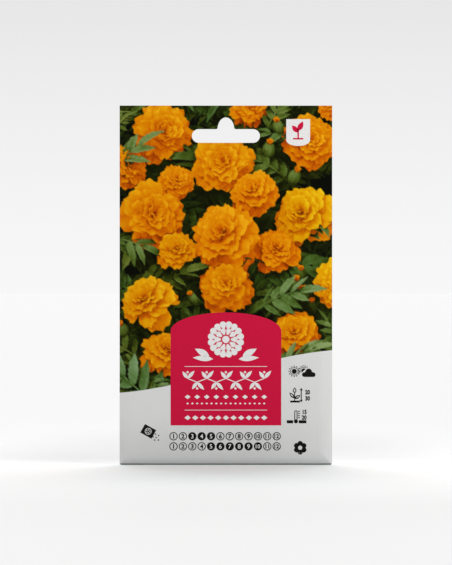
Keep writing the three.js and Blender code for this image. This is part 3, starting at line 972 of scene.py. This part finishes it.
def inked(name, mesh, origin, lift, ink):
    """Carries a flat mesh, in mm, onto the sheet: its own z is the height over the paper."""
    flat = np.array([vertex.co for vertex in mesh.vertices])
    triangles = []
    for face in mesh.polygons:
        corners = list(face.vertices)
        triangles += [(corners[0], b, c) for b, c in zip(corners[1:], corners[2:])]
    points = on_sheet(flat[:, :2] + origin, flat[:, 2] + lift)
    bpy.data.meshes.remove(mesh)
    new_piece(name, points, np.array(triangles), ink)


month_rows = [("sow", -149.9, range(3, 6)), ("bloom", -154.65, range(5, 11))]
first_month_x, month_pitch = -24.6, 4.405
month_x = {month: first_month_x + month_pitch * (month - 1) for month in range(1, 13)}
ring_film = 0.035
ring_sizes = {"Spacing": month_pitch, "Radius": 1.74, "Stroke": 0.42, "Film": ring_film}
numbers = {"black": [], "white": []}
for row_name, row_z, busy in month_rows:
    rings = lay_out(row_name + "_rings", ring_row, black_ink, **ring_sizes, Count=12, Sides=40)
    origin, lift = [first_month_x, row_z], ring_film / 2 - film_sink
    inked(row_name + "_month_rings", rings, origin, lift, black_ink)
    busy_discs = [disc(month_x[month], row_z, 1.72) for month in busy]
    printed(row_name + "_month_discs", busy_discs, black_ink, height=0.014)
    for month, x in month_x.items():
        tall = 2.9 if month < 10 else 2.6
        tone, weight = ("white", 0.01) if month in busy else ("black", 0.04)
        numbers[tone].append(glyph(str(month), x, row_z, tall, weight))

# The numbers beside the signs for height and soil warmth are inked in one piece with the months.
sign_numbers = [("20", 38.4, -129.2), ("30", 38.4, -132.1), ("15", 37.0, -138.5), ("20", 36.8, -141.1)]
for number, x, z in sign_numbers:
    numbers["black"].append(glyph(number, x, z, tall=2.75, weight=0.05, narrow=0.8))

for tone, ink in (("black", black_ink), ("white", white_ink)):
    shells = [sheet_solid(*number, 0.03, -film_sink) for number in numbers[tone]]
    one_piece("months_in_" + tone, shells, ink)

# ---------------------------------------------------------------------------------------------
# The signs: small black pictograms for sun, height, soil warmth, bloom and scattering the seed,
# printed on the bare paper beside the label.
# ---------------------------------------------------------------------------------------------


def ring(x, z, outer, inner):
    return [disc(x, z, outer), disc(x, z, inner)]


def rays_round(x, z, near, far, width, count, first=0.0, sweep=360.0):
    """Short strokes that stand round a disc."""
    strokes = []
    for k in range(count):
        turn = math.radians(first + sweep * k / count)
        dx, dz = math.cos(turn), math.sin(turn)
        strokes.append(bar(x + near * dx, z + near * dz, x + far * dx, z + far * dz, width))
    return strokes


def rectangle(x, z, half_wide, half_tall):
    corners = [(-1, -1), (1, -1), (1, 1), (-1, 1)]
    return [(x + a * half_wide, z + b * half_tall) for a, b in corners]


def small_packet(x, z, half_wide, half_tall, window, lean):
    """A packet seen from the front, with a round window."""
    return [placed(rectangle(0.0, 0.0, half_wide, half_tall), x, z, lean), disc(x, z, window)]


sun_x, sun_z = 32.1, -119.4
signs = [ring(sun_x, sun_z, 1.92, 1.6), disc(sun_x, sun_z, 1.2)]
signs += rays_round(sun_x, sun_z, 2.2, 2.66, 0.6, 12)
hidden_x, hidden_z = 36.6, -119.2
cloud_x, cloud_z, low_hump_z = 38.9, -119.8, -120.95
signs += rays_round(hidden_x, hidden_z, 2.2, 2.64, 0.58, 7, first=50.0, sweep=175.0)
hidden_ring = arc(hidden_x, hidden_z, 1.9, 1.9, 48.0, 205.0, 24)
signs += [hidden_ring + arc(hidden_x, hidden_z, 1.6, 1.6, 205.0, 48.0, 24)]
humps = [((cloud_x, cloud_z), 1.95), ((cloud_x - 2.0, low_hump_z), 1.5)]
signs += [
    [
        spot
        for spot in disc(hidden_x, hidden_z, 1.2)
        if all(math.dist(spot, hump) > clear for hump, clear in humps)
    ]
]
cloud = [(cloud_x - 2.0, -122.05), (cloud_x + 2.0, -122.05)]
cloud += arc(cloud_x + 2.1, low_hump_z, 1.1, 1.1, -80.0, 95.0, 14)
cloud += arc(cloud_x, cloud_z, 1.55, 1.7, 10.0, 165.0, 18)
cloud += arc(cloud_x - 2.0, low_hump_z, 1.15, 1.1, 85.0, 260.0, 16)

sprout_x, soil_z = 32.3, -133.3
signs += [bar(sprout_x, soil_z, sprout_x, -129.6, 0.42)]
signs += [[leaf_shape(sprout_x, -129.7, 2.8, 1.7, 90), leaf_shape(sprout_x, -129.1, 1.6, 0.8, 90)]]
for start_up, length, width, lean in ((1.0, 3.2, 1.6, 33), (1.3, 3.6, 1.6, 133)):
    across, upward = math.cos(math.radians(lean)), math.sin(math.radians(lean))
    rib = leaf_shape(sprout_x + 0.9 * across, soil_z + start_up + 0.9 * upward, length - 1.6, 0.5, lean)
    signs += [[leaf_shape(sprout_x, soil_z + start_up, length, width, lean), rib]]
signs += [bar(30.2, soil_z - 0.3, 34.8, soil_z - 0.3, 0.9)]
arrow_x = 35.4
signs += [bar(arrow_x, soil_z + 0.3, arrow_x, -127.9, 0.46)]
signs += [[(arrow_x - 0.75, -128.3), (arrow_x + 0.75, -128.3), (arrow_x, -127.1)]]
signs += [[(arrow_x - 0.75, soil_z + 0.5), (arrow_x, soil_z - 0.7), (arrow_x + 0.75, soil_z + 0.5)]]

bulb_x, bulb_z = 32.9, -142.9
signs += [disc(bulb_x, bulb_z, 0.95)]
tube_foot, tube_end = bulb_z + 0.7, bulb_z + 4.5
tube_wall = [(bulb_x + 0.76, tube_foot)] + arc(bulb_x, tube_end, 0.76, 0.7, 0, 180, 12)
tube_wall += [(bulb_x - 0.76, tube_foot), (bulb_x - 0.32, tube_foot)]
tube_wall += arc(bulb_x, tube_end, 0.32, 0.3, 180, 0, 12) + [(bulb_x + 0.32, tube_foot)]
signs += [tube_wall]
signs += [bar(bulb_x + 1.0, z, bulb_x + 1.85, z, 0.46) for z in (-138.2, -139.2, -140.2, -141.2)]
signs += [bar(x, -143.1, x + length, -143.1, 1.45) for x, length in ((28.6, 3.0), (34.2, 3.6))]

bloom_x, bloom_z = 34.9, -155.3
signs += [petal_shape(bloom_x, bloom_z, 1.9, 3.2, 2.5, 30 + 60 * k) for k in range(6)]
signs += [ring(bloom_x, bloom_z, 2.4, 0.98)]
printed("signs", signs, black_ink, height=0.015, pitch=1.0)
printed("cloud_sign", [cloud], black_ink, height=0.02, pitch=1.0)

packet_x, packet_z = -36.5, -147.6
rosette = [petal_shape(packet_x, packet_z, 0.4, 1.08, 0.62, 72 * k) for k in range(5)]
packet_sign = [small_packet(packet_x, packet_z, 3.0, 2.3, 1.6, -29.0)]
packet_sign += [[disc(packet_x, packet_z, 1.3)] + rosette]
falling = [(-33.1, -148.9), (-31.6, -149.6), (-34.2, -150.2), (-32.8, -150.5)]
falling += [(-33.5, -151.7), (-31.7, -151.7)]
packet_sign += [disc(x, z, 0.34, 12) for x, z in falling]
printed("packet_sign", packet_sign, black_ink, height=0.015, pitch=1.0)

# ---------------------------------------------------------------------------------------------
# The back's print: a crimson band over the header, punched with the slot, and under it, between
# two rows of small lozenges, three crimson frames with the steps of sowing drawn in black.
# ---------------------------------------------------------------------------------------------

middle = back_start + right
band_left, band_right = back_start + 1.6, back_edge - 0.35
band_foot, band_top = header_end - 1.0, top - 0.03
band = [(band_left, band_foot), (band_right, band_foot), (band_right, band_top), (band_left, band_top)]
printed("back_band", [[band, placed(punched, middle, 0.0)]], crimson_ink, height=0.02, pitch=3.0)
garland = [bar(middle - 45.0, -21.4, middle + 45.0, -21.4, 0.4)]
for k in range(-8, 9):
    across = middle + 5.2 * k
    garland.append(petal_shape(across, -17.6, 0.4, 2.2, 1.3, 90))
    garland += [leaf_shape(across, -17.9, 2.6, 1.1, lean) for lean in (-20, 200)]
printed("back_garland", garland, white_ink, height=0.035)

sow_x, tend_x, bloom_x = middle - 31.0, middle, middle + 31.0
frames = []
half_wide, half_tall, frame_z = 12.4, 15.0, -62.0
for x in (sow_x, tend_x, bloom_x):
    inner = rectangle(x, frame_z, 0.97 * half_wide, 0.975 * half_tall)
    frames += [[rectangle(x, frame_z, half_wide, half_tall), inner]]
    frames += [bar(x - 10.4, frame_z - 9.0, x + 10.4, frame_z - 9.0, 1.1)]
for k in range(-8, 9):
    frames += [lozenge(middle + 5.2 * k, z, 1.3 if k % 2 else 0.8) for z in (-40.0, -84.0)]
printed("back_frames", frames, crimson_ink, height=0.02, pitch=3.0)

falling = [(0.6, -58.0), (2.4, -60.2), (0.2, -61.6), (3.2, -63.2), (1.2, -65.2)]
steps = [small_packet(sow_x - 3.6, -53.6, 3.4, 2.6, 1.5, -35.0)]
steps += [disc(sow_x + a, z, 0.55, 16) for a, z in falling]
steps += [disc(sow_x + a, -73.6, 0.6, 16) for a in (-6.0, -2.0, 2.0, 6.0)]
steps += [bar(tend_x, -70.4, tend_x, -63.0, 0.7)]
steps += [leaf_shape(tend_x, -66.0, 5.6, 2.3, lean) for lean in (35, 145)]
for a, drop_z, root_lean in ((-1.0, -55.4, -120), (0.0, -53.8, -90), (1.0, -55.4, -60)):
    steps += [leaf_shape(tend_x + 5.0 * a, drop_z, 2.6, 1.5, -90)]
    steps += [leaf_shape(tend_x + 2.0 * a, -72.0, 3.4, 0.7, root_lean)]
steps += [bar(bloom_x, -70.4, bloom_x, -58.0, 0.8)]
steps += [leaf_shape(bloom_x, -68.6, 6.4, 2.3, lean) for lean in (28, 152)]
steps += [petal_shape(bloom_x, -55.2, 1.6, 5.2, 2.7, 36 * k) for k in range(10)]
steps += [ring(bloom_x, -55.2, 2.3, 1.3)]
printed("back_steps", steps, black_ink, height=0.02)

# ---------------------------------------------------------------------------------------------
# Inside the sachet: dried white glue in the header, along the flap and under the tab, and the
# seeds, slim dark husks with a pale tuft of bristles, in a heap at the foot of the pocket.
# ---------------------------------------------------------------------------------------------

glue, place, shader = new_finish("dried_glue", specular_ior_level=0.4)
swirl = place.noise(260.0, 4.0)
bubbles = place.node("ShaderNodeTexVoronoi", None, {"Vector": place, "Scale": 900.0})
wire(
    shader,
    base_color=swirl.blend(rgba(226, 220, 200), rgba(240, 236, 222)),
    roughness=0.35 + 0.3 * swirl,
    normal=bubbles.bump(0.2, 0.00003),
)
for name in ("header_glue", "flap_glue", "tab_glue"):
    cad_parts[name].data.materials[0] = glue

husk, place, shader = new_finish("dry_husk", specular_ior_level=0.35)
stripe = place.stretched(0.12).noise(4200.0, 3.0)
paleness = place.noise(320.0, 1.0).mask(0.56, 0.62, edge="LINEAR")
dark = stripe.blend(rgba(24, 20, 18), rgba(52, 44, 38))
wire(
    shader,
    base_color=paleness.blend(dark, rgba(196, 176, 138)),
    roughness=0.6 + 0.2 * stripe,
    normal=stripe.bump(0.5, 0.00006),
)
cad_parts["seeds"].data.materials[0] = husk

# ---------------------------------------------------------------------------------------------
# The stage: a wide pale floor under the packet's foot, with a cyan tint painted in front of the red
# label to offset the red light it throws there and a painted shadow behind the packet, a pale
# studio, a broad light from over the back, a soft one from the upper right, and the camera.
# ---------------------------------------------------------------------------------------------


def grey(value):
    return (value, value, value, 1.0)


floor_mesh = bpy.data.meshes.new("floor")
floor_rim = [(x, y, foot * mm) for x, y in disc(0.0, 0.0, 30.0, 96)]
floor_mesh.from_pydata(floor_rim, [], [range(96)])
in_scene("floor", floor_mesh)
floor_white, place, shader = new_finish("floor_white", roughness=0.8, specular_ior_level=0.04)
deep, aside = place.part("Y"), place.maths("ABSOLUTE", place.part("X"))
in_front = 1 - deep.mask(-0.01, 0.01)
# Painted counter-light: a cyan tint in front of the label that offsets the red light it throws on the
# floor.
painted_bounce_offset = deep.mask(-0.3, -0.06) * in_front * aside.mask(0.09, 0.02)
# Painted shadow on the floor behind and beside the packet.
painted_floor_shadow = deep.mask(0.5, 0.16) * deep.mask(-0.01, 0.08) * aside.mask(0.13, 0.055)
floor_tint = painted_bounce_offset.blend(grey(0.85), (0.805, 0.85, 0.85, 1.0))
wire(shader, base_color=painted_floor_shadow.blend(floor_tint, grey(0.75)))
floor_mesh.materials.append(floor_white)

world = bpy.data.worlds.new("studio")
world.use_nodes = True
bpy.context.scene.world = world
direction = Shade(world.node_tree).node("ShaderNodeTexCoord", out="Generated")
behind, upward = direction.part("Y"), direction.part("Z")
low_behind = behind.mask(-0.3, 0.7) * upward.mask(0.2, -0.03)
pale = direction.maths("MAXIMUM", low_behind, upward.mask(0.09, -0.02))
backdrop = upward.mask(0.5, 0.9).blend(pale.blend(grey(0.585), grey(0.95)), grey(0.82))
world.node_tree.links.new(backdrop.socket, world.node_tree.nodes["Background"].inputs["Color"])

broad = in_scene("broad_light", bpy.data.lights.new("broad_light", "SUN"))
broad.data.energy = 2.0
broad.data.angle = math.radians(58)
broad.rotation_euler = (math.radians(-59), 0.0, 0.0)

soft = in_scene("soft_light", bpy.data.lights.new("soft_light", "AREA"))
soft.data.shape = "DISK"
soft.data.size = 0.22
soft.data.energy = 0.15
soft.data.spread = math.radians(80)
soft.location = (0.3, -0.31, 0.2)
aim = Vector((0.01, 0.0, -0.06)) - soft.location
soft.rotation_euler = aim.to_track_quat("-Z", "Y").to_euler()
soft.visible_camera = False

photo_width, photo_height = 452, 565
pixels_per_mm = 2.125
packet_top_pixel, packet_middle_pixel = 105.6, 225.9
lens, sensor = 250.0, 36.0
view_height = photo_height / pixels_per_mm * mm
distance = view_height * lens / sensor
eye_height = (top - (photo_height / 2 - packet_top_pixel) / pixels_per_mm) * mm
eye_side = (photo_width / 2 - packet_middle_pixel) / pixels_per_mm * mm

camera = in_scene("camera", bpy.data.cameras.new("camera"))
camera.data.lens, camera.data.sensor_width = lens, sensor
camera.data.clip_end = 100.0
camera.location = (eye_side, -distance, eye_height)
camera.rotation_euler = (math.pi / 2, 0.0, 0.0)
bpy.context.scene.camera = camera
bpy.context.scene.view_settings.view_transform = "Standard"
